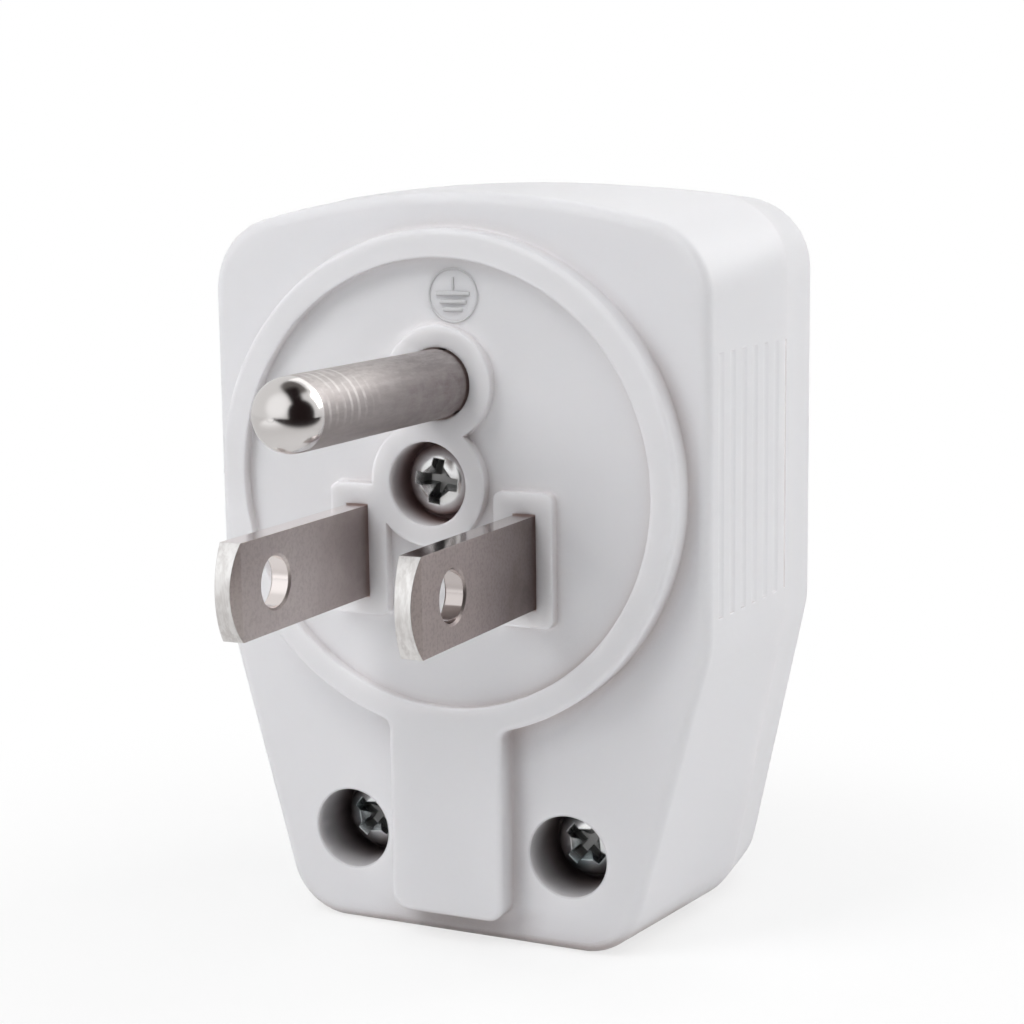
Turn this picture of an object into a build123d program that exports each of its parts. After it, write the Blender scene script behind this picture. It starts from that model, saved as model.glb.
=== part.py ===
from build123d import *
from math import sqrt
import os

# A rewirable grounded plug. All sizes are in millimetres.
# X runs to the right seen from the pins, Y from the contact plane into the body,
# Z up towards the ground pin. The origin lies midway between the two blades.

# Blades
blade_spacing = 12.7
blade_thickness = 1.5
blade_width = 6.35
blade_reach = 17.2
blade_tip_bulge = 1.1
blade_tip_thickness = 1.1
blade_hole_diameter = 3.4
blade_hole_reach = 12.0
blade_hole_chamfer = 0.15
blade_bend_radius = 0.8

# Ground pin and the strip riveted to it
ground_pin_height = 11.76
ground_pin_diameter = 4.7
ground_pin_reach = 21.2
ground_root_diameter = 4.2
ground_root_start = -0.2
ground_flange_diameter = 7.4
ground_flange_thickness = 1.5
ground_spigot_diameter = 3.6
rivet_head_diameter = 5.2
rivet_head_height = 0.8
rivet_head_bevel = 0.4
strip_thickness = 1.5
strip_width = 7.6
strip_corner_radius = 1.9
ground_terminal_height = 18.2

# Depths behind the contact plane
recess_depth = 0.8
face_depth = 2.0
terminal_depth = 8.0
parting_depth = 15.6
body_depth = 25.5

# Outline of the body at the front face, how far it flares to the parting line,
# and how far it draws in again from there to the back
front_half_width = 18.7
front_base_half_width = 12.7
front_crown_height = 24.45
side_flare = 0.7
base_flare = 2.3
crown_flare = 0.45
side_draft = 0.5
base_draft = 1.1
crown_draft = 0.4
bend_height = -5.6
base_height = -27.6
front_crown_radius = 58.0
rear_crown_radius = 105.0
shoulder_radius = 5.2
bend_radius = 8.0
base_corner_radius = 4.5
front_edge_radius = 0.8
back_edge_radius = 4.5
inside_bevel = 1.7
wall = 2.0

# Round plateau with the tongue below it
ring_height = 4.8
ring_outer_radius = 17.3
ring_inner_radius = 15.4
ring_edge_radius = 0.4
floor_thickness = 2.2
tongue_half_width = 4.3
tongue_end_height = -25.6
tongue_corner_radius = 1.2
tongue_root_radius = 0.8

# Raised pads around the blades and the figure of eight round the pin and screw
pad_inner = 4.1
pad_outer = 8.4
pad_bottom = -4.45
pad_top = 4.7
pad_corner_radius = 0.6
pin_boss_radius = 3.95
screw_boss_radius = 4.3

# Housing screws
centre_screw_x = -0.85
centre_screw_height = 4.9
centre_screw_sink = 1.2
lower_screw_x = 8.45
lower_screw_height = -20.8
lower_screw_sink = 3.0
housing_head_diameter = 5.0
housing_head_height = 1.9
housing_shank_diameter = 2.4
housing_shank_length = 14.0
housing_tip_length = 2.0
housing_tip_diameter = 0.6
counterbore_diameter = 5.8
tower_diameter = 8.4
tower_depth = 12.0
rear_boss_diameter = 5.6

# Terminal screws and their clamp washers
terminal_edge = 4.9
terminal_head_diameter = 5.8
terminal_head_height = 2.0
terminal_shank_diameter = 2.9
terminal_shank_length = 6.0
terminal_tip_length = 0.5
terminal_tip_diameter = 2.3
washer_length = 7.2
washer_width = 6.35
washer_thickness = 0.9
washer_lip = 0.6
washer_lip_height = 0.7

# Head edge and cross recess of every screw
head_bevel = 0.8
recess_span = 3.2
recess_width = 0.9
recess_end_span = 1.5
recess_end_width = 0.6
recess_cut = 1.2

# Grip flutes on both sides, and the groove beside the parting line
flute_count = 6
flute_pitch = 1.94
flute_radius = 1.1
flute_cut = 0.1
grip_bottom = -3.6
grip_top = 14.0
parting_groove_width = 0.3
parting_groove_cut = 0.35

# Cord inlet and cord grip
inlet_diameter = 9.0
inlet_chamfer = 0.8
cord_diameter = 6.8
grip_rib_thickness = 1.8
grip_rib_half_width = 5.0
grip_rib_overlap = 2.5
rear_grip_offset = 2.8

# Register lip of the rear cover, and its posts
lip_thickness = 0.9
lip_height = 1.2
holddown_thickness = 1.0
holddown_half_height = 2.4
ground_post_diameter = 3.6

# Clearances
slot_gap = 0.1
pin_gap = 0.12
flange_gap = 0.2
foot_gap = 0.5
shank_gap = 0.05
lip_gap = 0.15
post_gap = 0.1
screw_clearance = 0.45
pedestal_margin = 1.0
overcut = 1.0
same_place = 1e-4

parting_half_width = front_half_width + side_flare
parting_base_half_width = front_base_half_width + base_flare
parting_crown_height = front_crown_height + crown_flare
back_half_width = parting_half_width - side_draft
back_base_half_width = parting_base_half_width - base_draft
back_crown_height = parting_crown_height - crown_draft
blade_x = blade_spacing / 2
foot_top = terminal_depth + strip_thickness
blade_foot_end = front_half_width - wall - foot_gap
terminal_screw_x = blade_foot_end - terminal_edge
floor_back = recess_depth + floor_thickness
cavity_front = face_depth + wall
back_inside = body_depth - wall
line_terminal = (terminal_screw_x, 0)
neutral_terminal = (-terminal_screw_x, 0)
ground_terminal = (0, ground_terminal_height)


def at_depth(depth):
    """Plane parallel to the face, this far behind the contact plane."""
    return Plane.XZ.offset(-depth)


def prism(profile, depth, length):
    """A profile seen from the pins, run into the body from this depth."""
    return extrude(at_depth(depth) * profile, amount=length, dir=(0, 1, 0))


def rod(place, diameter, depth, end):
    """A round bar or hole between two depths."""
    x, height = place
    return prism(Pos(x, height) * Circle(diameter / 2), depth, end - depth)


def block(left, right, bottom, top):
    """A rectangle seen from the pins."""
    centre = Pos((left + right) / 2, (bottom + top) / 2)
    return centre * Rectangle(right - left, top - bottom)


def corners_at(profile, height):
    return [corner for corner in profile.vertices() if abs(corner.Y - height) < same_place]


def corner_near(profile, x, y):
    return [corner for corner in profile.vertices() if abs(corner.X - x) + abs(corner.Y - y) < same_place]


def both_sides(part):
    return part + mirror(part, about=Plane.YZ)


def upright(diameter, bottom, length):
    """A round bar or hole that stands on the parting plane."""
    base = (Align.CENTER, Align.CENTER, Align.MIN)
    return Pos(0, parting_depth, bottom) * Cylinder(diameter / 2, length, align=base)


def body_outline(half_width, base_half_width, crown_height, crown_radius):
    """Arched top, upright sides, then sides that lean in to a flat base."""
    shoulder_height = crown_height - crown_radius + sqrt(crown_radius**2 - half_width**2)
    left_shoulder = (-half_width, shoulder_height)
    right_shoulder = (half_width, shoulder_height)
    arch = ThreePointArc(left_shoulder, (0, crown_height), right_shoulder)
    sides = Polyline(
        right_shoulder,
        (half_width, bend_height),
        (base_half_width, base_height),
        (-base_half_width, base_height),
        (-half_width, bend_height),
        left_shoulder,
    )
    outline = make_face([arch, sides])
    outline = fillet(corners_at(outline, base_height), base_corner_radius)
    outline = fillet(corners_at(outline, bend_height), bend_radius)
    return fillet(corners_at(outline, shoulder_height), shoulder_radius)


front_outline = body_outline(
    front_half_width, front_base_half_width, front_crown_height, front_crown_radius
)
parting_outline = body_outline(
    parting_half_width, parting_base_half_width, parting_crown_height, rear_crown_radius
)
back_outline = body_outline(
    back_half_width, back_base_half_width, back_crown_height, rear_crown_radius
)


def tapered(front, front_depth, back, back_depth):
    """A moulded shape with draft, from one outline to the next."""
    return loft([at_depth(front_depth) * front, at_depth(back_depth) * back], ruled=True)


def front_room(gap):
    """The space inside the front half, drawn in all round by a gap."""
    front = offset(front_outline, -wall - gap)
    parting = offset(parting_outline, -wall - gap)
    return tapered(front, cavity_front, parting, parting_depth)


def plateau():
    """The disc that meets the socket, with its tongue, rounded along the top edge."""
    disc = Pos(0, ring_height) * Circle(ring_outer_radius)
    tongue = block(-tongue_half_width, tongue_half_width, tongue_end_height, ring_height)
    root_height = ring_height - sqrt(ring_outer_radius**2 - tongue_half_width**2)
    profile = disc + tongue
    profile = fillet(corners_at(profile, tongue_end_height), tongue_corner_radius)
    profile = fillet(corners_at(profile, root_height), tongue_root_radius)
    raised = prism(profile, 0, cavity_front)
    return fillet(raised.faces().sort_by(Axis.Y)[0].edges(), ring_edge_radius)


def plateau_room():
    """The hollow behind the plateau, which keeps its floor an even thickness."""
    disc = Pos(0, ring_height) * Circle(ring_outer_radius - wall)
    half_width = tongue_half_width - wall
    tongue = block(-half_width, half_width, tongue_end_height + wall, ring_height)
    return prism(disc + tongue, floor_back, cavity_front - floor_back)


def face_recess():
    """The sunk floor inside the ring, round the raised pads and the figure of eight."""
    pad = RectangleRounded(pad_outer - pad_inner, pad_top - pad_bottom, pad_corner_radius)
    pad = Pos((pad_inner + pad_outer) / 2, (pad_bottom + pad_top) / 2) * pad
    eight = Pos(0, ground_pin_height) * Circle(pin_boss_radius)
    eight += Pos(centre_screw_x, centre_screw_height) * Circle(screw_boss_radius)
    floor = Pos(0, ring_height) * Circle(ring_inner_radius)
    return prism(floor - both_sides(pad) - eight, 0, recess_depth)


def terminal_pedestals():
    """Blocks that carry the blade feet and the ground strip."""
    half_height = blade_width / 2 + pedestal_margin
    inner = blade_x - blade_thickness - pedestal_margin
    blade_block = block(inner, front_half_width - wall / 2, -half_height, half_height)
    half_width = strip_width / 2 + pedestal_margin
    bottom = ground_pin_height - strip_width / 2
    ground_block = block(-half_width, half_width, bottom, front_crown_height - wall / 2)
    depth = terminal_depth - recess_depth
    return both_sides(prism(blade_block, recess_depth, depth)) + prism(ground_block, recess_depth, depth)


def screw_towers():
    centre = rod((centre_screw_x, centre_screw_height), tower_diameter, recess_depth, terminal_depth)
    lower = rod((lower_screw_x, lower_screw_height), tower_diameter, face_depth, tower_depth)
    return centre + both_sides(lower)


def grip_rib(height):
    """A cross wall seen from the pins, where the cord is held."""
    half = grip_rib_thickness / 2
    return block(-grip_rib_half_width, grip_rib_half_width, height - half, height + half)


def cord_space():
    """The round way of the cord along the parting line, up from the base."""
    return upright(cord_diameter, base_height, lower_screw_height - base_height + tower_diameter)


def front_grip_rib():
    length = parting_depth - grip_rib_overlap - face_depth
    return prism(grip_rib(lower_screw_height), face_depth, length) - cord_space()


def cord_inlet():
    """Round hole in the base, half in each shell, with a bevelled mouth."""
    mouth = Pos(0, parting_depth, base_height) * Cone(
        inlet_diameter / 2 + inlet_chamfer,
        inlet_diameter / 2,
        inlet_chamfer,
        align=(Align.CENTER, Align.CENTER, Align.MIN),
    )
    length = wall + lip_gap + lip_thickness + 2 * overcut
    return mouth + upright(inlet_diameter, base_height - overcut, length)


def side_grip():
    """Shallow upright flutes across both flanks, and a sharp groove beside the parting line."""
    height = (grip_bottom + grip_top) / 2
    length = grip_top - grip_bottom
    lean = side_flare / (parting_depth - face_depth)
    groove = Box(
        parting_groove_cut + overcut,
        2 * parting_groove_width,
        length,
        align=(Align.MIN, Align.CENTER, Align.CENTER),
    )
    cutters = [Pos(parting_half_width - parting_groove_cut, parting_depth, height) * groove]
    for step in range(1, flute_count + 1):
        back = step * flute_pitch
        axis = parting_half_width - back * lean + flute_radius - flute_cut
        cutters.append(Pos(axis, parting_depth - back, height) * Cylinder(flute_radius, length))
    return both_sides(Part() + cutters)


def blade_slot():
    """The right-hand slot, bevelled behind where the blade bends into its foot."""
    near = blade_x - blade_thickness / 2 - slot_gap
    far = blade_x + blade_thickness / 2 + slot_gap
    section = make_face(Polyline(
        (near, 0),
        (far, 0),
        (far, terminal_depth - blade_bend_radius),
        (far + blade_bend_radius, terminal_depth),
        (near, terminal_depth),
        close=True,
    ))
    bottom = -blade_width / 2 - slot_gap
    return extrude(Pos(0, 0, bottom) * section, amount=blade_width + 2 * slot_gap)


def screw_ways():
    """Counterbores and clearance holes of the three housing screws."""
    way = housing_shank_diameter + 2 * screw_clearance
    centre = (centre_screw_x, centre_screw_height)
    ways = rod(centre, way, 0, terminal_depth)
    ways += rod(centre, counterbore_diameter, 0, centre_screw_sink + housing_head_height)
    lower = (lower_screw_x, lower_screw_height)
    lower_seat = face_depth + lower_screw_sink + housing_head_height
    lower_way = rod(lower, way, face_depth, tower_depth)
    lower_way += rod(lower, counterbore_diameter, face_depth, lower_seat)
    return ways + both_sides(lower_way)


def terminal_screw_rooms():
    """Blind holes in the pedestals for the ends of the terminal screws."""
    room = terminal_shank_diameter + 2 * screw_clearance
    bottom = foot_top + washer_thickness - terminal_shank_length - screw_clearance
    rooms = Part()
    for place in (line_terminal, neutral_terminal, ground_terminal):
        rooms += rod(place, room, bottom, terminal_depth)
    return rooms


def front_housing():
    envelope = tapered(front_outline, face_depth, parting_outline, parting_depth)
    envelope = fillet(envelope.faces().sort_by(Axis.Y)[0].edges(), front_edge_radius)
    envelope += plateau()
    fittings = (terminal_pedestals() + screw_towers() + front_grip_rib()) & envelope
    housing = envelope - front_room(0) - plateau_room() + fittings

    pin = (0, ground_pin_height)
    flange_seat = terminal_depth - ground_flange_thickness
    housing -= face_recess()
    housing -= both_sides(blade_slot())
    housing -= rod(pin, ground_pin_diameter + 2 * pin_gap, 0, terminal_depth)
    housing -= rod(pin, ground_flange_diameter + 2 * flange_gap, flange_seat, terminal_depth)
    housing -= screw_ways()
    housing -= terminal_screw_rooms()
    housing -= side_grip()
    return housing - cord_inlet()


def register_lip():
    """The rim of the cover that enters the front half, and its root in the cover."""
    band = block(-parting_half_width, parting_half_width, base_height, parting_crown_height)
    band = prism(band, parting_depth - lip_height, lip_height)
    rim = (front_room(lip_gap) - front_room(lip_gap + lip_thickness)) & band
    root = offset(parting_outline, -wall / 2) - offset(parting_outline, -wall - lip_gap - lip_thickness)
    return rim + prism(root, parting_depth, lip_thickness)


def rear_posts():
    """Bosses for the screws, and posts that hold down the blade feet and the ground rivet."""
    posts = rod((centre_screw_x, centre_screw_height), rear_boss_diameter, terminal_depth, back_inside)
    posts += both_sides(rod((lower_screw_x, lower_screw_height), rear_boss_diameter, tower_depth, back_inside))
    rivet_top = foot_top + rivet_head_height + post_gap
    posts += rod((0, ground_pin_height), ground_post_diameter, rivet_top, back_inside)
    inner = blade_foot_end - holddown_thickness
    holddown = block(inner, blade_foot_end, -holddown_half_height, holddown_half_height)
    holddown_depth = foot_top + post_gap
    return posts + both_sides(prism(holddown, holddown_depth, back_inside - holddown_depth))


def rear_grip_ribs():
    depth = parting_depth + grip_rib_overlap
    below = grip_rib(lower_screw_height - rear_grip_offset)
    above = grip_rib(lower_screw_height + rear_grip_offset)
    return prism(below + above, depth, back_inside - depth) - cord_space()


def rear_room():
    """The space inside the rear cover, bevelled along the back to follow the rounded edge outside."""
    bevel_depth = back_inside - inside_bevel
    parting = offset(parting_outline, -wall)
    middle = offset(back_outline, -wall)
    back = offset(back_outline, -wall - inside_bevel)
    return tapered(parting, parting_depth, middle, bevel_depth) + tapered(middle, bevel_depth, back, back_inside)


def rear_cover():
    cover = tapered(parting_outline, parting_depth, back_outline, body_depth)
    cover = fillet(cover.faces().sort_by(Axis.Y)[-1].edges(), back_edge_radius)
    cover -= rear_room()
    cover += register_lip() + rear_posts() + rear_grip_ribs()

    pilot = housing_shank_diameter + 2 * shank_gap
    centre_end = centre_screw_sink + housing_head_height + housing_shank_length
    lower_end = face_depth + lower_screw_sink + housing_head_height + housing_shank_length
    cover -= rod((centre_screw_x, centre_screw_height), pilot, terminal_depth, centre_end + overcut)
    cover -= both_sides(rod((lower_screw_x, lower_screw_height), pilot, tower_depth, lower_end + overcut))
    return cover - cord_inlet()


def blade():
    """The right-hand blade: a strip bent outwards into a foot with a tapped hole."""
    near = blade_x - blade_thickness / 2
    far = blade_x + blade_thickness / 2
    shoulder = blade_tip_bulge - blade_reach
    section = make_face(Polyline(
        (blade_x - blade_tip_thickness / 2, -blade_reach),
        (blade_x + blade_tip_thickness / 2, -blade_reach),
        (far, shoulder),
        (far, terminal_depth),
        (blade_foot_end, terminal_depth),
        (blade_foot_end, foot_top),
        (near, foot_top),
        (near, shoulder),
        close=True,
    ))
    section = fillet(corner_near(section, far, terminal_depth), blade_bend_radius)
    section = fillet(corner_near(section, near, foot_top), blade_bend_radius + blade_thickness)
    strip = extrude(section, amount=blade_width / 2, both=True)

    half = blade_width / 2
    back = foot_top + overcut
    tip = ThreePointArc((shoulder, half), (-blade_reach, 0), (shoulder, -half))
    sides = Polyline((shoulder, -half), (back, -half), (back, half), (shoulder, half))
    strip &= extrude(Plane.YZ * make_face([tip, sides]), amount=blade_foot_end + overcut)

    middle = Plane(origin=(blade_x, -blade_hole_reach, 0), z_dir=(1, 0, 0))
    countersink = Cone(
        blade_hole_diameter / 2,
        blade_hole_diameter / 2 + blade_hole_chamfer,
        blade_hole_chamfer,
        align=(Align.CENTER, Align.CENTER, Align.MAX),
    )
    mouth = Pos(0, 0, blade_thickness / 2) * countersink
    hole = Cylinder(blade_hole_diameter / 2, 2 * blade_thickness) + mouth + mirror(mouth, about=Plane.XY)
    tapped = terminal_shank_diameter + 2 * shank_gap
    return strip - middle * hole - rod(line_terminal, tapped, terminal_depth, foot_top)


def ground_pin():
    """Turned pin with a round nose, a thinner root, a flange, and a spigot peened over the strip."""
    radius = ground_pin_diameter / 2
    nose = radius - ground_pin_reach
    flange = terminal_depth - ground_flange_thickness
    peen = foot_top + rivet_head_height
    outline = Polyline(
        (radius, nose),
        (radius, ground_root_start),
        (ground_root_diameter / 2, ground_root_start),
        (ground_root_diameter / 2, flange),
        (ground_flange_diameter / 2, flange),
        (ground_flange_diameter / 2, terminal_depth),
        (ground_spigot_diameter / 2, terminal_depth),
        (ground_spigot_diameter / 2, foot_top),
        (rivet_head_diameter / 2, foot_top),
        (rivet_head_diameter / 2 - rivet_head_bevel, peen),
        (0, peen),
        (0, -ground_pin_reach),
    )
    dome = CenterArc((0, nose), radius, -90, 90)
    turned = revolve(make_face([outline, dome]), axis=Axis.Y)
    return Pos(0, 0, ground_pin_height) * turned


def ground_strip():
    half = strip_width / 2
    bottom = ground_pin_height - half
    top = ground_terminal_height + half
    plate = Pos(0, (bottom + top) / 2) * RectangleRounded(strip_width, top - bottom, strip_corner_radius)
    plate -= Pos(0, ground_pin_height) * Circle(ground_spigot_diameter / 2 + shank_gap)
    plate -= Pos(0, ground_terminal_height) * Circle(terminal_shank_diameter / 2 + shank_gap)
    return prism(plate, terminal_depth, strip_thickness)


def clamp_washer(place):
    """Square washer with two turned-up edges that keep the wire under the screw."""
    x, height = place
    half_length = washer_length / 2
    half_width = washer_width / 2
    plate = block(-half_length, half_length, -half_width, half_width)
    plate -= Circle(terminal_shank_diameter / 2 + pin_gap)
    lip = block(half_length - washer_lip, half_length, -half_width, half_width)
    washer = prism(plate, foot_top, washer_thickness)
    washer += both_sides(prism(lip, foot_top, washer_thickness + washer_lip_height))
    return Pos(x, 0, height) * washer


def cross_head_screw(head_diameter, head_height, shank_diameter, shank_length, tip_diameter, tip_length):
    """Pan-head screw with its head top at the origin and its tip along +Z."""
    head_radius = head_diameter / 2
    shank_radius = shank_diameter / 2
    end = head_height + shank_length
    outline = Polyline(
        (0, 0),
        (head_radius - head_bevel, 0),
        (head_radius, head_bevel),
        (head_radius, head_height),
        (shank_radius, head_height),
        (shank_radius, end - tip_length),
        (tip_diameter / 2, end),
        (0, end),
        close=True,
    )
    turned = revolve(Plane.XZ * make_face(outline), axis=Axis.Z)
    top = Rectangle(recess_span, recess_width) + Rectangle(recess_width, recess_span)
    bottom = Rectangle(recess_end_span, recess_end_width) + Rectangle(recess_end_width, recess_end_span)
    return turned - loft([top, Pos(0, 0, recess_cut) * bottom], ruled=True)


def housing_screw(x, head_depth, height):
    screw = cross_head_screw(
        housing_head_diameter,
        housing_head_height,
        housing_shank_diameter,
        housing_shank_length,
        housing_tip_diameter,
        housing_tip_length,
    )
    inwards = Plane(origin=(x, head_depth, height), x_dir=(1, 0, 0), z_dir=(0, 1, 0))
    return inwards * screw


def terminal_screw(place):
    x, height = place
    screw = cross_head_screw(
        terminal_head_diameter,
        terminal_head_height,
        terminal_shank_diameter,
        terminal_shank_length,
        terminal_tip_diameter,
        terminal_tip_length,
    )
    head_top = foot_top + washer_thickness + terminal_head_height
    outwards = Plane(origin=(x, head_top, height), x_dir=(1, 0, 0), z_dir=(0, -1, 0))
    return outwards * screw


pieces = {
    "front_housing": front_housing(),
    "rear_cover": rear_cover(),
    "line_blade": blade(),
    "neutral_blade": mirror(blade(), about=Plane.YZ),
    "ground_pin": ground_pin(),
    "ground_strip": ground_strip(),
    "line_terminal_screw": terminal_screw(line_terminal),
    "neutral_terminal_screw": terminal_screw(neutral_terminal),
    "ground_terminal_screw": terminal_screw(ground_terminal),
    "line_clamp_washer": clamp_washer(line_terminal),
    "neutral_clamp_washer": clamp_washer(neutral_terminal),
    "ground_clamp_washer": clamp_washer(ground_terminal),
    "centre_housing_screw": housing_screw(centre_screw_x, centre_screw_sink, centre_screw_height),
    "left_cord_screw": housing_screw(-lower_screw_x, face_depth + lower_screw_sink, lower_screw_height),
    "right_cord_screw": housing_screw(lower_screw_x, face_depth + lower_screw_sink, lower_screw_height),
}

os.makedirs("parts", exist_ok=True)
for name, piece in pieces.items():
    piece.label = name
    export_step(piece, f"parts/{name}.step")
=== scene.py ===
import math

import bmesh
import bpy
from mathutils import Matrix, Vector


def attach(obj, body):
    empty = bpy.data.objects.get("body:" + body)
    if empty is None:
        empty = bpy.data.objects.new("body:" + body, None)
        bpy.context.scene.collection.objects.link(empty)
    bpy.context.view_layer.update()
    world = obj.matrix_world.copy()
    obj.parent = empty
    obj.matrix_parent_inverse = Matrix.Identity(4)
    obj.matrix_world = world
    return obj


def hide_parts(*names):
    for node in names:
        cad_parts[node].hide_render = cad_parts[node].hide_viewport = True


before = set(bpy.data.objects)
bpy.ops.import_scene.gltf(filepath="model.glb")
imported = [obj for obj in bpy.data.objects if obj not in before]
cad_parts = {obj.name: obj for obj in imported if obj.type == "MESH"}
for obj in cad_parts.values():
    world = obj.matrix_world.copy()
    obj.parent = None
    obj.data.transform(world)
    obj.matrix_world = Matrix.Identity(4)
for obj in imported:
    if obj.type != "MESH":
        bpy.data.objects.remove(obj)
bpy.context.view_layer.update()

MM = 0.001

# Places that the pieces and finishes share with the solids, in millimetres
PIN_DOME_START = -18.85
PIN_HEIGHT = 11.76
PIN_HOLE_RADIUS = 2.55
BLADE_PLACE = 6.35
BLADE_REACH = 17.2
BLADE_SLOT_HALF_WIDTH = 1.0
BLADE_SLOT_HALF_HEIGHT = 3.4
WELL_RADIUS = 2.95
PARTING_DEPTH = 15.6
RECESS_FLOOR = 0.8
FLOOR_BACK = 3.0
LOWER_FACE = 2.0
RING_HEIGHT = 4.8
BASE_HEIGHT = -27.6
EARTH_SIGN = (0.956, RECESS_FLOOR, 17.64)
CENTRE_SCREW = (-0.85, 1.2, 4.9)
LEFT_CORD_SCREW = (-8.45, 5.0, -20.8)
RIGHT_CORD_SCREW = (8.45, 5.0, -20.8)

# A housing screw's outline as radius and depth under the top of its head, and its thread
SCREW_HEAD = [
    (0.0, 0.0), (0.7, 0.02), (1.25, 0.09), (1.7, 0.22), (2.05, 0.42), (2.3, 0.7),
    (2.44, 1.02), (2.5, 1.35), (2.48, 1.7), (2.38, 1.88), (2.3, 1.9),
]
SCREW_SHANK = [(1.1, 1.9), (1.05, 2.2), (1.05, 14.4), (0.3, 15.9), (0.0, 15.9)]
SCREW_STEPS = 72
THREAD_TOOTH = [(1.0, 3.0), (1.2, 3.25), (1.0, 3.5)]
THREAD_PITCH = 0.85
THREAD_TURNS = 13
THREAD_STEPS = 24

# The earth sign: its circle, and the width, height and rise of its stem and bars
SIGN_RADIUS = 1.79
SIGN_LINE_RADIUS = 0.075
SIGN_BARS = [(0.16, 0.86, 0.8), (2.5, 0.26, 0.13), (2.0, 0.26, -0.41), (1.45, 0.26, -0.93)]

SAME_PLACE = 0.0005
SHARP_FROM = 35


class Value:
    """One output of a shader node; sums written on it become Math nodes."""

    def __init__(self, finish, socket):
        self.finish = finish
        self.socket = socket

    def sum(self, operation, first, second):
        return self.finish.node("ShaderNodeMath", {"operation": operation}, {0: first, 1: second})

    def __add__(self, other):
        return self.sum("ADD", self, other)

    def __radd__(self, other):
        return self.sum("ADD", other, self)

    def __sub__(self, other):
        return self.sum("SUBTRACT", self, other)

    def __rsub__(self, other):
        return self.sum("SUBTRACT", other, self)

    def __mul__(self, other):
        return self.sum("MULTIPLY", self, other)

    def __rmul__(self, other):
        return self.sum("MULTIPLY", other, self)

    def __truediv__(self, other):
        return self.sum("DIVIDE", self, other)

    def __abs__(self):
        return self.sum("ABSOLUTE", self, 0.0)

    def __pow__(self, other):
        return self.sum("POWER", self, other)


class Finish:
    """A material, or the studio's surround, and the nodes that make it."""

    def __init__(self, tree):
        self.tree = tree
        tree.nodes.clear()

    def node(self, kind, settings, sockets, out=0):
        made = self.tree.nodes.new(kind)
        for name, setting in settings.items():
            setattr(made, name, setting)
        for name, value in sockets.items():
            target = made.inputs[name]
            if isinstance(value, Value):
                self.tree.links.new(value.socket, target)
            else:
                target.default_value = value
        return Value(self, made.outputs[out]) if made.outputs else None

    def axes(self, vector):
        """The X, Y and Z of a vector."""
        split = self.node("ShaderNodeSeparateXYZ", {}, {"Vector": vector})
        return [Value(self, split.socket.node.outputs[axis]) for axis in "XYZ"]

    def place(self):
        """Where a point lies on the object, and its X, Y and Z in millimetres."""
        point = self.node("ShaderNodeTexCoord", {}, {}, "Object")
        return point, [axis / MM for axis in self.axes(point)]

    def facing(self):
        """Which way the surface faces, as the X, Y and Z of its normal."""
        return self.axes(self.node("ShaderNodeNewGeometry", {}, {}, "Normal"))

    def ease(self, value, low, high, at_low=0.0, at_high=1.0):
        """A soft step between two values."""
        settings = {"interpolation_type": "SMOOTHSTEP"}
        sockets = {"Value": value, 1: low, 2: high, 3: at_low, 4: at_high}
        return self.node("ShaderNodeMapRange", settings, sockets)

    def grain(self, point, scale, detail=2.0, rough=0.5, stretch=(1.0, 1.0, 1.0)):
        """Even noise about 0.5, finer as its scale per metre goes up."""
        stretched = self.node("ShaderNodeMapping", {}, {"Vector": point, "Scale": stretch})
        sockets = {"Vector": stretched, "Scale": scale, "Detail": detail, "Roughness": rough}
        return self.node("ShaderNodeTexNoise", {}, sockets)

    def blend(self, amount, first, second):
        """A colour between two colours."""
        sockets = {"Factor": amount, "A": first, "B": second}
        return self.node("ShaderNodeMix", {"data_type": "RGBA"}, sockets, 2)

    def openness(self, reach):
        """How open a place lies within this reach: 1 out on a flat face, less in corners and wells."""
        return self.node("ShaderNodeAmbientOcclusion", {"samples": 4}, {"Distance": reach}, "AO")

    def relief(self, height, depth, sockets):
        """The surface's direction with a fine relief on it."""
        return self.node("ShaderNodeBump", {}, {"Height": height, "Distance": depth, "Strength": 1.0, **sockets})

    def soft_edges(self, radius, height, depth):
        """The surface's direction with its edges rounded off and a fine relief on it."""
        rounded = self.node("ShaderNodeBevel", {"samples": 4}, {"Radius": radius})
        return self.relief(height, depth, {"Normal": rounded})

    def surface(self, settings, sockets):
        """Ends the material in one plain shader."""
        shader = self.node("ShaderNodeBsdfPrincipled", settings, sockets)
        self.node("ShaderNodeOutputMaterial", {}, {"Surface": shader})


def colour(red, green, blue):
    return (red, green, blue, 1.0)


WHITE = colour(1, 1, 1)
BLACK = colour(0, 0, 0)
UNLIT = colour(0.015, 0.01, 0.01)


def new_material(name):
    made = bpy.data.materials.new(name)
    made.use_nodes = True
    return made, Finish(made.node_tree)


def towards(axes, direction):
    """How far a place lies, or a line of sight points, along this direction."""
    return sum(share * axis for axis, share in zip(axes, direction))


def off_axis(x, z, across, up):
    """How far a place lies from an axis that runs into the body here, squared."""
    return (x - across) ** 2.0 + (z - up) ** 2.0


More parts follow.
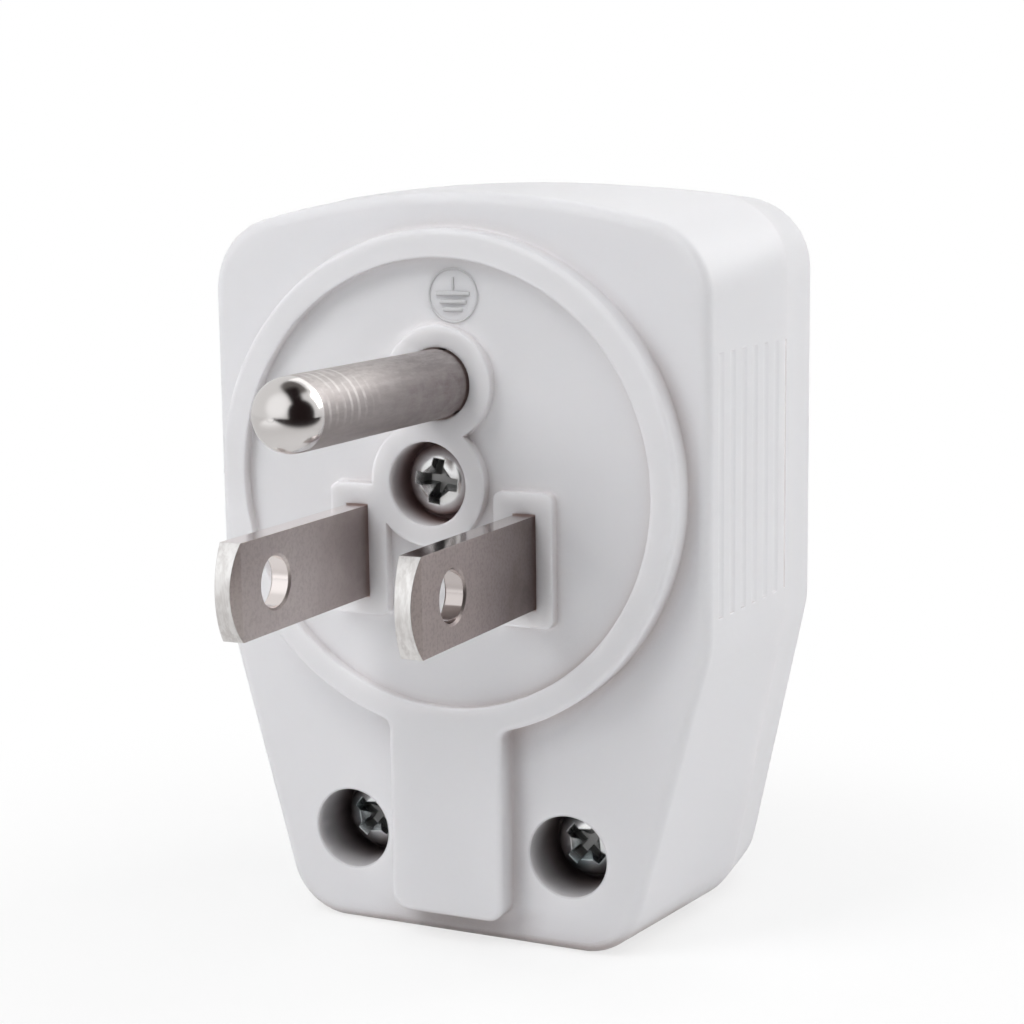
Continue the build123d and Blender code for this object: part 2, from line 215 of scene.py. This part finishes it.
def white_moulding():
    """Satin white plastic that light passes into, with painted shade in its corners, down its screw wells and at feet
    that face down to the right, and a painted glow in its narrow slots and along the parting line.
    """
    made, finish = new_material("white_moulding")
    point, (x, y, z) = finish.place()
    clouds = finish.grain(point, 60.0, 3.0)
    orange_peel = finish.grain(point, 2600.0, 2.0)
    body = finish.blend(clouds, colour(0.79, 0.788, 0.812), colour(0.815, 0.812, 0.834))
    # Painted shade and shadow: darker in corners and recesses, and darker still at the feet to the lower right, on
    # the side away from the key light
    closed_in = 1.0 - finish.openness(3.0 * MM)
    corners = finish.ease(closed_in, 0.3, 0.9)
    painted_shadow_side = finish.ease(towards((x, z - RING_HEIGHT), (0.9, -0.44)), 5.0, 14.0)
    painted_shadow_feet = finish.ease(closed_in, 0.12, 0.6) * painted_shadow_side * finish.ease(y, 12.0, 9.0)
    shaded = finish.blend(0.9 * corners + 0.7 * painted_shadow_feet, body, colour(0.46, 0.41, 0.405))
    # Painted shade down in the three screw wells, darker the deeper they go
    for (across, seat, up), mouth, shade in (
        (CENTRE_SCREW, -0.4, colour(0.25, 0.165, 0.16)),
        (LEFT_CORD_SCREW, LOWER_FACE - 1.6, colour(0.09, 0.066, 0.065)),
        (RIGHT_CORD_SCREW, LOWER_FACE - 1.6, colour(0.09, 0.066, 0.065)),
    ):
        inside = finish.ease(off_axis(x, z, across, up) ** 0.5, WELL_RADIUS + 0.1, WELL_RADIUS)
        painted_well_shade = inside * finish.ease(y, seat + 2.6, seat + 2.2)
        shaded = finish.blend(painted_well_shade * finish.ease(y, mouth, seat + 1.7), shaded, shade)

    # Painted glow: the narrow slots and the parting line emit a little light, standing in for light that the plastic
    # passes, so they aren't black
    beside_blade = finish.ease(abs(abs(x) - BLADE_PLACE), BLADE_SLOT_HALF_WIDTH + 0.1, BLADE_SLOT_HALF_WIDTH)
    blade_slots = beside_blade * finish.ease(abs(z), BLADE_SLOT_HALF_HEIGHT + 0.1, BLADE_SLOT_HALF_HEIGHT)
    pin_hole = finish.ease(off_axis(x, z, 0.0, PIN_HEIGHT) ** 0.5, PIN_HOLE_RADIUS + 0.1, PIN_HOLE_RADIUS)
    slot_depth = finish.ease(y, 0.0, 0.06) * finish.ease(y, FLOOR_BACK + 0.2, FLOOR_BACK)
    slots = (blade_slots + 0.6 * pin_hole) * slot_depth
    painted_slot_glow = finish.blend(slots, BLACK, colour(0.1, 0.075, 0.072))
    from_parting = abs(y - PARTING_DEPTH)
    painted_groove_glow = finish.ease(from_parting, 0.4, 0.35) * finish.ease(closed_in, 0.5, 0.85)
    edge_radius = 0.04 + 0.24 * finish.ease(from_parting, 0.15, 0.35)
    finish.surface({"subsurface_method": "BURLEY"}, {
        "Base Color": shaded,
        "Roughness": 0.32 + 0.10 * clouds + 0.06 * orange_peel,
        "IOR": 1.5,
        "Subsurface Weight": 1.0,
        "Subsurface Radius": (1.0, 0.95, 0.9),
        "Subsurface Scale": 0.9 * MM,
        # Painted glow in the slots and along the parting line
        "Emission Color": finish.blend(painted_groove_glow, painted_slot_glow, colour(0.3, 0.295, 0.3)),
        "Emission Strength": 1.0,
        "Normal": finish.soft_edges(edge_radius * MM, orange_peel, 0.004 * MM),
    })
    return made


def raised_sign():
    """The same plastic where the sign stands up from the recess floor, greyer as a painted shade of its thin relief.
    """
    made, finish = new_material("raised_sign")
    point, _ = finish.place()
    painted_light_mix = finish.grain(point, 900.0, 3.0)
    finish.surface({}, {
        # Painted shade: the two greys stand in for the shading of the sign's thin relief
        "Base Color": finish.blend(painted_light_mix, colour(0.60, 0.60, 0.612), colour(0.70, 0.70, 0.715)),
        "Roughness": 0.36 + 0.1 * painted_light_mix,
        "IOR": 1.5,
    })
    return made


def satin_nickel(name, root, front, edge):
    """Nickel plate on a drawn strip: painted shade brown at the root, brighter to the front, polished edges, ground
    tip.
    """
    made, finish = new_material(name)
    point, (_, y, _) = finish.place()
    across, along, _ = finish.facing()
    polished_edge = finish.ease(abs(across), 0.75, 0.35)
    # Painted shade: the plate darkens towards the root, next to the body
    painted_root_shade_fade = finish.ease(y, -0.5, -11.0)
    ground_tip = finish.ease(along, -0.45, -0.75) * finish.ease(y, -BLADE_REACH + 3.0, -BLADE_REACH + 2.4)
    streaks = finish.grain(point, 900.0, 3.0, 0.6, (1.0, 0.12, 1.0))
    stains = finish.ease(finish.grain(point, 210.0, 3.0, 0.55), 0.35, 0.7)
    pits = finish.ease(finish.grain(point, 4200.0, 2.0, 0.6), 0.42, 0.68)
    brushed = finish.ease(finish.grain(point, 2400.0, 3.0, 0.65, (1.0, 1.0, 0.22)), 0.36, 0.66)
    root_shaded_plate = finish.blend(painted_root_shade_fade, root, front)
    stained = finish.blend(0.28 * stains + 0.22 * streaks, root_shaded_plate, front)
    pitted = finish.blend(0.2 * pits, stained, root)
    edged = finish.blend(polished_edge, pitted, edge)
    ground = finish.blend(0.6 * brushed + 0.4 * stains, colour(1.0, 0.99, 0.98), colour(0.7, 0.675, 0.66))
    satin = (0.34 + 0.14 * streaks) * (1.0 - 0.72 * polished_edge)
    finish.surface({}, {
        "Base Color": finish.blend(ground_tip, edged, ground),
        "Metallic": 1.0,
        "Roughness": satin + ground_tip * (0.2 + 0.1 * stains),
        "Normal": finish.soft_edges(0.07 * MM, streaks + ground_tip * brushed, 0.002 * MM),
    })
    return made


def turned_nickel():
    """The ground pin's plate: turning rings behind a polished dome, with a painted highlight along its top and
    painted shade towards the root.
    """
    made, finish = new_material("turned_nickel")
    point, (_, y, z) = finish.place()
    _, _, upright = finish.facing()
    # Painted shade: the plate darkens towards the root
    painted_root_shade_fade = finish.ease(y, 0.0, -15.0)
    dome = finish.ease(y, PIN_DOME_START + 0.05, PIN_DOME_START - 0.12)
    ringed = finish.ease(y, -11.5, -14.5) * (1.0 - dome)
    wobble = finish.grain(point, 420.0, 2.0)
    ring_pitch = 0.87
    turns = (y + 0.25 * wobble) * (2.0 * math.pi / ring_pitch)
    wave = finish.node("ShaderNodeMath", {"operation": "SINE"}, {0: turns})
    # The turning rings are real marks; their lighter colour only along the top of the pin is a painted highlight
    top_glint_strokes = finish.ease(finish.grain(point, 520.0, 3.0, 0.6), 0.4, 0.6) * finish.ease(z, 10.6, 12.4)
    rings = finish.ease(wave, 0.1, 0.9) * ringed * top_glint_strokes
    lathe_marks = finish.grain(point, 3000.0, 2.0, 0.6, (0.04, 1.0, 0.04))
    spots = finish.ease(finish.grain(point, 850.0, 4.0, 0.65), 0.32, 0.68)
    scratches = finish.ease(finish.grain(point, 2600.0, 3.0, 0.65, (1.0, 0.25, 1.0)), 0.36, 0.66)
    # Painted highlight: lighter where the plate faces up, broken by real scratches
    painted_light_mix = finish.ease(upright, 0.15, 0.95) * (0.65 + 0.35 * scratches)
    root_shaded_plate = finish.blend(painted_root_shade_fade, colour(0.27, 0.22, 0.215), colour(0.44, 0.4, 0.39))
    mottled = finish.blend(0.25 * lathe_marks + 0.45 * spots, root_shaded_plate, colour(0.5, 0.465, 0.455))
    scratches_and_top_sheen = finish.blend(0.1 * scratches + 0.45 * painted_light_mix, mottled, colour(0.86, 0.82, 0.8))
    ringed_glint_plate = finish.blend(0.5 * rings, scratches_and_top_sheen, colour(0.92, 0.9, 0.88))
    marks = (0.5 * lathe_marks + 0.5 * spots + 0.5 * scratches) * (1.0 - 0.92 * dome) + rings
    finish.surface({}, {
        "Base Color": finish.blend(dome, ringed_glint_plate, colour(0.8, 0.775, 0.765)),
        "Metallic": 1.0,
        "Roughness": (0.42 + 0.1 * lathe_marks + 0.1 * spots) * (1.0 - 0.66 * dome),
        "Normal": finish.relief(marks, 0.006 * MM, {}),
    })
    return made


def zinc_plate(name, tint, head):
    """Bright zinc plate with a tint and small scuffs, and painted shade down in the recess of the head at this place.
    """
    made, finish = new_material(name)
    point, (x, y, z) = finish.place()
    across, top, up = head
    scuffs = finish.grain(point, 1500.0, 3.0, 0.6)
    bloom = finish.grain(point, 350.0, 2.0)
    from_middle = off_axis(x, z, across, up)
    under_dome = y - top - 0.075 * from_middle
    # Painted shade: a dark colour down in the cross recess
    hollow = finish.ease(under_dome, 0.06, 1.0) * finish.ease(from_middle, 4.6, 3.9)
    plate = finish.blend(finish.ease(bloom, 0.35, 0.7), colour(0.88, 0.885, 0.885), tint)
    finish.surface({}, {
        "Base Color": finish.blend(hollow, plate, colour(0.27, 0.272, 0.27)),
        "Metallic": 1.0,
        "Roughness": 0.14 + 0.14 * scuffs + 0.1 * hollow,
        "Normal": finish.soft_edges(0.11 * MM, scuffs, 0.003 * MM),
    })
    return made


def bare_brass():
    """Rolled brass strip with rolling lines and a light tarnish."""
    made, finish = new_material("bare_brass")
    point, _ = finish.place()
    rolling = finish.grain(point, 1200.0, 3.0, 0.6, (1.0, 1.0, 0.08))
    tarnish = finish.ease(finish.grain(point, 300.0, 3.0), 0.4, 0.75)
    finish.surface({}, {
        "Base Color": finish.blend(tarnish, colour(0.72, 0.55, 0.27), colour(0.5, 0.35, 0.17)),
        "Metallic": 1.0,
        "Roughness": 0.25 + 0.2 * rolling,
        "Normal": finish.soft_edges(0.06 * MM, rolling, 0.003 * MM),
    })
    return made


def as_object(name, mesh):
    """A bmesh as an object in the scene."""
    data = bpy.data.meshes.new(name)
    mesh.to_mesh(data)
    mesh.free()
    piece = bpy.data.objects.new(name, data)
    bpy.context.scene.collection.objects.link(piece)
    return piece


def finish_piece(name, mesh, material):
    """A finished bmesh as a smooth object that rides with the plug."""
    bmesh.ops.remove_doubles(mesh, verts=mesh.verts, dist=SAME_PLACE * MM)
    bmesh.ops.recalc_face_normals(mesh, faces=mesh.faces)
    piece = as_object(name, mesh)
    piece.data.materials.append(material)
    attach(piece, "root")
    for face in piece.data.polygons:
        face.use_smooth = True
    piece.data.set_sharp_from_angle(angle=math.radians(SHARP_FROM))
    return piece


def outline_edges(mesh, outline):
    """An outline of radius and depth in millimetres, as vertices and edges beside the Z axis."""
    points = [mesh.verts.new((radius * MM, 0.0, depth * MM)) for radius, depth in outline]
    return points + [mesh.edges.new(pair) for pair in zip(points, points[1:])]


def screw_blank():
    """A housing screw before its cross is punched and its thread is cut, along the Z axis."""
    mesh = bmesh.new()
    outline = outline_edges(mesh, SCREW_HEAD + SCREW_SHANK)
    bmesh.ops.spin(
        mesh, geom=outline, cent=(0, 0, 0), axis=(0, 0, 1), angle=2 * math.pi, steps=SCREW_STEPS, use_merge=True
    )
    bmesh.ops.remove_doubles(mesh, verts=mesh.verts, dist=SAME_PLACE * MM)
    bmesh.ops.recalc_face_normals(mesh, faces=mesh.faces)
    return as_object("screw_blank", mesh)


def cross_recess():
    """The tapered cross that is punched into a screw head."""
    half_width, arm_length, start, depth, taper = 0.5, 1.32, -0.3, 1.75, 0.55
    mesh = bmesh.new()
    above = Matrix.Translation((0, 0, start * MM))
    made = bmesh.ops.create_grid(mesh, x_segments=1, y_segments=1, size=half_width * MM, matrix=above)
    core = made["verts"][0].link_faces[0]
    for edge in list(core.edges):
        middle = (edge.verts[0].co + edge.verts[1].co) / 2
        outwards = Vector((middle.x, middle.y, 0)).normalized() * arm_length * MM
        arm = bmesh.ops.extrude_edge_only(mesh, edges=[edge])
        tip = [v for v in arm["geom"] if isinstance(v, bmesh.types.BMVert)]
        bmesh.ops.translate(mesh, verts=tip, vec=outwards)
    deeper = bmesh.ops.extrude_face_region(mesh, geom=list(mesh.faces), use_keep_orig=True)
    bottom = [v for v in deeper["geom"] if isinstance(v, bmesh.types.BMVert)]
    bmesh.ops.translate(mesh, verts=bottom, vec=(0, 0, depth * MM))
    bmesh.ops.scale(mesh, verts=bottom, vec=(taper, taper, 1.0))
    bmesh.ops.recalc_face_normals(mesh, faces=mesh.faces)
    return as_object("cross_recess", mesh)


def recess_middle():
    """The four-sided hollow in the middle of the cross, its corners along the arms."""
    mesh = bmesh.new()
    start = Matrix.Translation((0, 0, 0.55 * MM))
    bmesh.ops.create_cone(
        mesh, cap_ends=True, segments=4, radius1=1.9 * MM, radius2=0.3 * MM, depth=1.7 * MM, matrix=start
    )
    bmesh.ops.recalc_face_normals(mesh, faces=mesh.faces)
    return as_object("recess_middle", mesh)


def housing_screw(node, place, turn, material):
    """Domed pan-head screw with a cross recess and a cut thread, seated in its counterbore."""
    blank = screw_blank()
    cutters = [cross_recess(), recess_middle()]
    for cutter in cutters:
        punch = blank.modifiers.new("punch", "BOOLEAN")
        punch.operation = "DIFFERENCE"
        punch.solver = "EXACT"
        punch.object = cutter
    bpy.context.view_layer.update()
    punched = bpy.data.meshes.new_from_object(blank.evaluated_get(bpy.context.evaluated_depsgraph_get()))
    for used in [blank, *cutters]:
        bpy.data.objects.remove(used)

    mesh = bmesh.new()
    mesh.from_mesh(punched)
    steps = THREAD_STEPS * THREAD_TURNS
    bmesh.ops.spin(
        mesh, geom=outline_edges(mesh, THREAD_TOOTH), cent=(0, 0, 0), axis=(0, 0, 1),
        angle=2 * math.pi * THREAD_TURNS, steps=steps, dvec=(0, 0, THREAD_PITCH * THREAD_TURNS * MM / steps),
    )
    into_body = Matrix.Rotation(-math.pi / 2, 4, "X") @ Matrix.Rotation(math.radians(turn), 4, "Z")
    bmesh.ops.transform(mesh, verts=mesh.verts, matrix=into_body)
    bmesh.ops.translate(mesh, verts=mesh.verts, vec=Vector(place) * MM)
    screw = finish_piece(node + "_detailed", mesh, material)
    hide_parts(node)


def ridge_bar(mesh, width, height, rise):
    """A raised bar of the sign with rounded edges, this far above the sign's middle."""
    x, floor, z = EARTH_SIGN
    bar = bmesh.ops.create_cube(mesh, size=MM)["verts"]
    bmesh.ops.scale(mesh, verts=bar, vec=(width, 0.24, height))
    bmesh.ops.translate(mesh, verts=bar, vec=Vector((x, floor, z + rise)) * MM)
    edges = list({edge for vert in bar for edge in vert.link_edges})
    bmesh.ops.bevel(
        mesh, geom=edges, offset=0.05 * MM, offset_type="OFFSET", affect="EDGES", segments=2, profile=0.5, material=-1
    )


def earth_sign():
    """The protective-earth sign, raised on the recess floor: a circle, a stem and three bars."""
    mesh = bmesh.new()
    rim = bmesh.ops.create_circle(mesh, cap_ends=False, segments=10, radius=SIGN_LINE_RADIUS * MM)["verts"]
    rim_place = (SIGN_RADIUS * MM, 0, 0)
    bmesh.ops.translate(mesh, verts=rim, vec=rim_place)
    edges = list({edge for vert in rim for edge in vert.link_edges})
    upright = Matrix.Rotation(math.pi / 2, 3, "X")
    bmesh.ops.rotate(mesh, verts=rim, cent=rim_place, matrix=upright)
    bmesh.ops.spin(
        mesh, geom=rim + edges, cent=(0, 0, 0), axis=(0, 0, 1), angle=2 * math.pi, steps=96, use_merge=True
    )
    bmesh.ops.rotate(mesh, verts=mesh.verts, cent=(0, 0, 0), matrix=upright)
    bmesh.ops.translate(mesh, verts=mesh.verts, vec=Vector(EARTH_SIGN) * MM)
    for width, height, rise in SIGN_BARS:
        ridge_bar(mesh, width, height, rise)
    finish_piece("earth_sign", mesh, raised_sign())


def light_paths(finish):
    """Whether the camera looks straight at a thing, metal mirrors it, or it is seen through something."""
    seen = finish.node("ShaderNodeLightPath", {}, {}, "Is Camera Ray")
    rays = seen.socket.node.outputs
    return seen, Value(finish, rays["Is Glossy Ray"]), Value(finish, rays["Is Transmission Ray"])


def studio_floor():
    """Pale floor that keeps a faint shadow of the plug, is white further out, and ends in the dark to the right;
    metal mirrors a painted pool of lamp light on it to the front left.
    """
    made, finish = new_material("studio_floor")
    point, (x, y, _) = finish.place()
    distance = finish.node("ShaderNodeMath", {"operation": "SQRT"}, {0: x * x + y * y})
    paper = finish.grain(point, 300.0, 2.0)
    pale = finish.blend(paper, colour(0.93, 0.93, 0.93), colour(0.95, 0.95, 0.95))
    lit = finish.node("ShaderNodeBsdfDiffuse", {}, {"Color": pale})
    seen, mirrored, through = light_paths(finish)
    table_edge = finish.ease(towards((x, y), (0.84, -0.54)), 55.0, 95.0)
    # Painted pool of lamp light, seen only in what metal mirrors
    lamp_side = finish.ease(towards((x, y), (-0.42, -0.89)), 60.0, 150.0)
    near_lamp = lamp_side * finish.ease(abs(towards((x, y), (0.89, -0.42))), 130.0, 60.0)
    lamp_pool_paper = finish.blend(near_lamp, colour(0.66, 0.65, 0.645), WHITE)
    mirrored_paper = finish.blend(table_edge, lamp_pool_paper, UNLIT)
    paper_white = finish.blend(mirrored, WHITE, mirrored_paper)
    white = finish.node("ShaderNodeEmission", {}, {"Color": paper_white, "Strength": 1.0})
    looked_at = finish.node("ShaderNodeMath", {"operation": "MINIMUM"}, {0: seen + mirrored + through, 1: 1.0})
    far = looked_at * finish.ease(distance, 20.0, 70.0, 0.72, 1.0)
    shader = finish.node("ShaderNodeMixShader", {}, {0: far, 1: lit, 2: white})
    finish.node("ShaderNodeOutputMaterial", {}, {"Surface": shader})
    mesh = bmesh.new()
    bmesh.ops.create_circle(mesh, cap_ends=True, segments=64, radius=0.6)
    bmesh.ops.translate(mesh, verts=mesh.verts, vec=(0, 0, (BASE_HEIGHT - 0.02) * MM))
    floor = as_object("floor", mesh)
    floor.data.materials.append(made)


def studio_surround():
    """A dim room with a white background; metal mirrors it dark to the right and overhead, bright to the left."""
    world = bpy.data.worlds.new("studio")
    bpy.context.scene.world = world
    world.use_nodes = True
    finish = Finish(world.node_tree)
    sight = finish.axes(finish.node("ShaderNodeTexCoord", {}, {}, "Generated"))
    seen, mirrored, _ = light_paths(finish)
    right_of_camera = finish.ease(towards(sight, (0.891, -0.438, 0.119)), 0.7, 0.8)
    left_of_camera = finish.ease(towards(sight, (-0.213, -0.844, 0.494)), 0.7, 0.95)
    overhead = finish.ease(towards(sight, (0.05, 0.2, 0.978)), 0.85, 0.93)
    gap_side = finish.ease(towards(sight, (0.84, -0.54)), -0.2, 0.1)
    gap_between = finish.ease(abs(towards(sight, (0.54, 0.84))), 0.4, 0.2) * gap_side
    dark = finish.node("ShaderNodeMath", {"operation": "MAXIMUM"}, {0: right_of_camera, 1: gap_between})
    lit_wall = finish.blend(left_of_camera, colour(0.74, 0.735, 0.73), WHITE)
    lit_room = finish.blend(overhead, lit_wall, colour(0.13, 0.12, 0.115))
    room = finish.blend(mirrored, colour(0.05, 0.05, 0.05), lit_room)
    shaded = finish.blend(dark * mirrored, room, UNLIT)
    backdrop = finish.blend(seen, shaded, WHITE)
    shader = finish.node("ShaderNodeBackground", {}, {"Color": backdrop, "Strength": 1.0})
    finish.node("ShaderNodeOutputWorld", {}, {"Surface": shader})


def softbox(name, place, size, watts, mirrored):
    """A square lamp aimed at the middle of the plug, which metal mirrors or not."""
    light = bpy.data.lights.new(name, "AREA")
    light.shape = "SQUARE"
    light.size = size
    light.energy = watts
    lamp = bpy.data.objects.new(name, light)
    bpy.context.scene.collection.objects.link(lamp)
    lamp.visible_glossy = mirrored
    lamp.location = place
    aim = Vector((0, 0.008, 0)) - Vector(place)
    lamp.rotation_euler = aim.to_track_quat("-Z", "Y").to_euler()


def photo_camera():
    """The camera where the photo was taken from."""
    right = Vector((0.90370, 0.42798, -0.01275))
    up = Vector((-0.05743, 0.15067, 0.98691))
    back = Vector((0.42430, -0.89114, 0.16074))
    eye = Vector((0.06693, -0.129037, 0.026634))
    view = bpy.data.cameras.new("photo_camera")
    view.sensor_width = 36.0
    view.sensor_fit = "HORIZONTAL"
    view.lens = 76.37
    view.clip_start = 0.005
    view.clip_end = 10.0
    camera = bpy.data.objects.new("photo_camera", view)
    bpy.context.scene.collection.objects.link(camera)
    camera.matrix_world = Matrix((
        (right.x, up.x, back.x, eye.x),
        (right.y, up.y, back.y, eye.y),
        (right.z, up.z, back.z, eye.z),
        (0, 0, 0, 1),
    ))
    bpy.context.scene.camera = camera


def dress(node, material):
    """Gives a solid its finish."""
    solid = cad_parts[node]
    solid.data.materials.clear()
    solid.data.materials.append(material)


plastic = white_moulding()
line_plate = satin_nickel(
    "line_nickel", colour(0.13, 0.098, 0.093), colour(0.49, 0.425, 0.41), colour(0.66, 0.605, 0.59)
)
neutral_plate = satin_nickel(
    "neutral_nickel", colour(0.31, 0.255, 0.245), colour(0.7, 0.635, 0.61), colour(0.95, 0.885, 0.865)
)
pin_plate = turned_nickel()
clear_zinc = zinc_plate("clear_zinc", colour(0.8, 0.81, 0.815), CENTRE_SCREW)
left_zinc = zinc_plate("left_blue_zinc", colour(0.5, 0.6, 0.62), LEFT_CORD_SCREW)
right_zinc = zinc_plate("right_blue_zinc", colour(0.5, 0.6, 0.62), RIGHT_CORD_SCREW)
brass = bare_brass()

dress("front_housing", plastic)
dress("rear_cover", plastic)
dress("line_blade", line_plate)
dress("neutral_blade", neutral_plate)
dress("ground_pin", pin_plate)
dress("ground_strip", brass)
for terminal in ("line", "neutral", "ground"):
    dress(terminal + "_terminal_screw", clear_zinc)
    dress(terminal + "_clamp_washer", clear_zinc)

housing_screw("centre_housing_screw", CENTRE_SCREW, 8, clear_zinc)
housing_screw("left_cord_screw", LEFT_CORD_SCREW, 38, left_zinc)
housing_screw("right_cord_screw", RIGHT_CORD_SCREW, 40, right_zinc)

earth_sign()

studio_floor()
studio_surround()
softbox("high_key_softbox", (-0.0875, -0.152, 0.303), 0.12, 0.41, False)
softbox("key_softbox", (-0.143, -0.248, 0.2), 0.12, 0.21, False)
softbox("low_key_softbox", (-0.172, -0.299, 0.061), 0.12, 0.095, False)
softbox("left_softbox", (-0.235, -0.165, 0.2), 0.12, 0.152, False)
softbox("high_right_softbox", (0.147, -0.095, 0.303), 0.2, 0.3, False)
softbox("right_softbox", (0.335, 0.06, 0.12), 0.15, 0.27, False)
softbox("back_softbox", (0.0, 0.3, 0.28), 0.3, 0.15, True)
softbox("right_back_softbox", (0.195, 0.232, 0.175), 0.2, 0.38, True)
softbox("left_back_softbox", (-0.32, 0.2, 0.14), 0.25, 0.22, False)
photo_camera()

bpy.context.scene.view_settings.view_transform = "Standard"
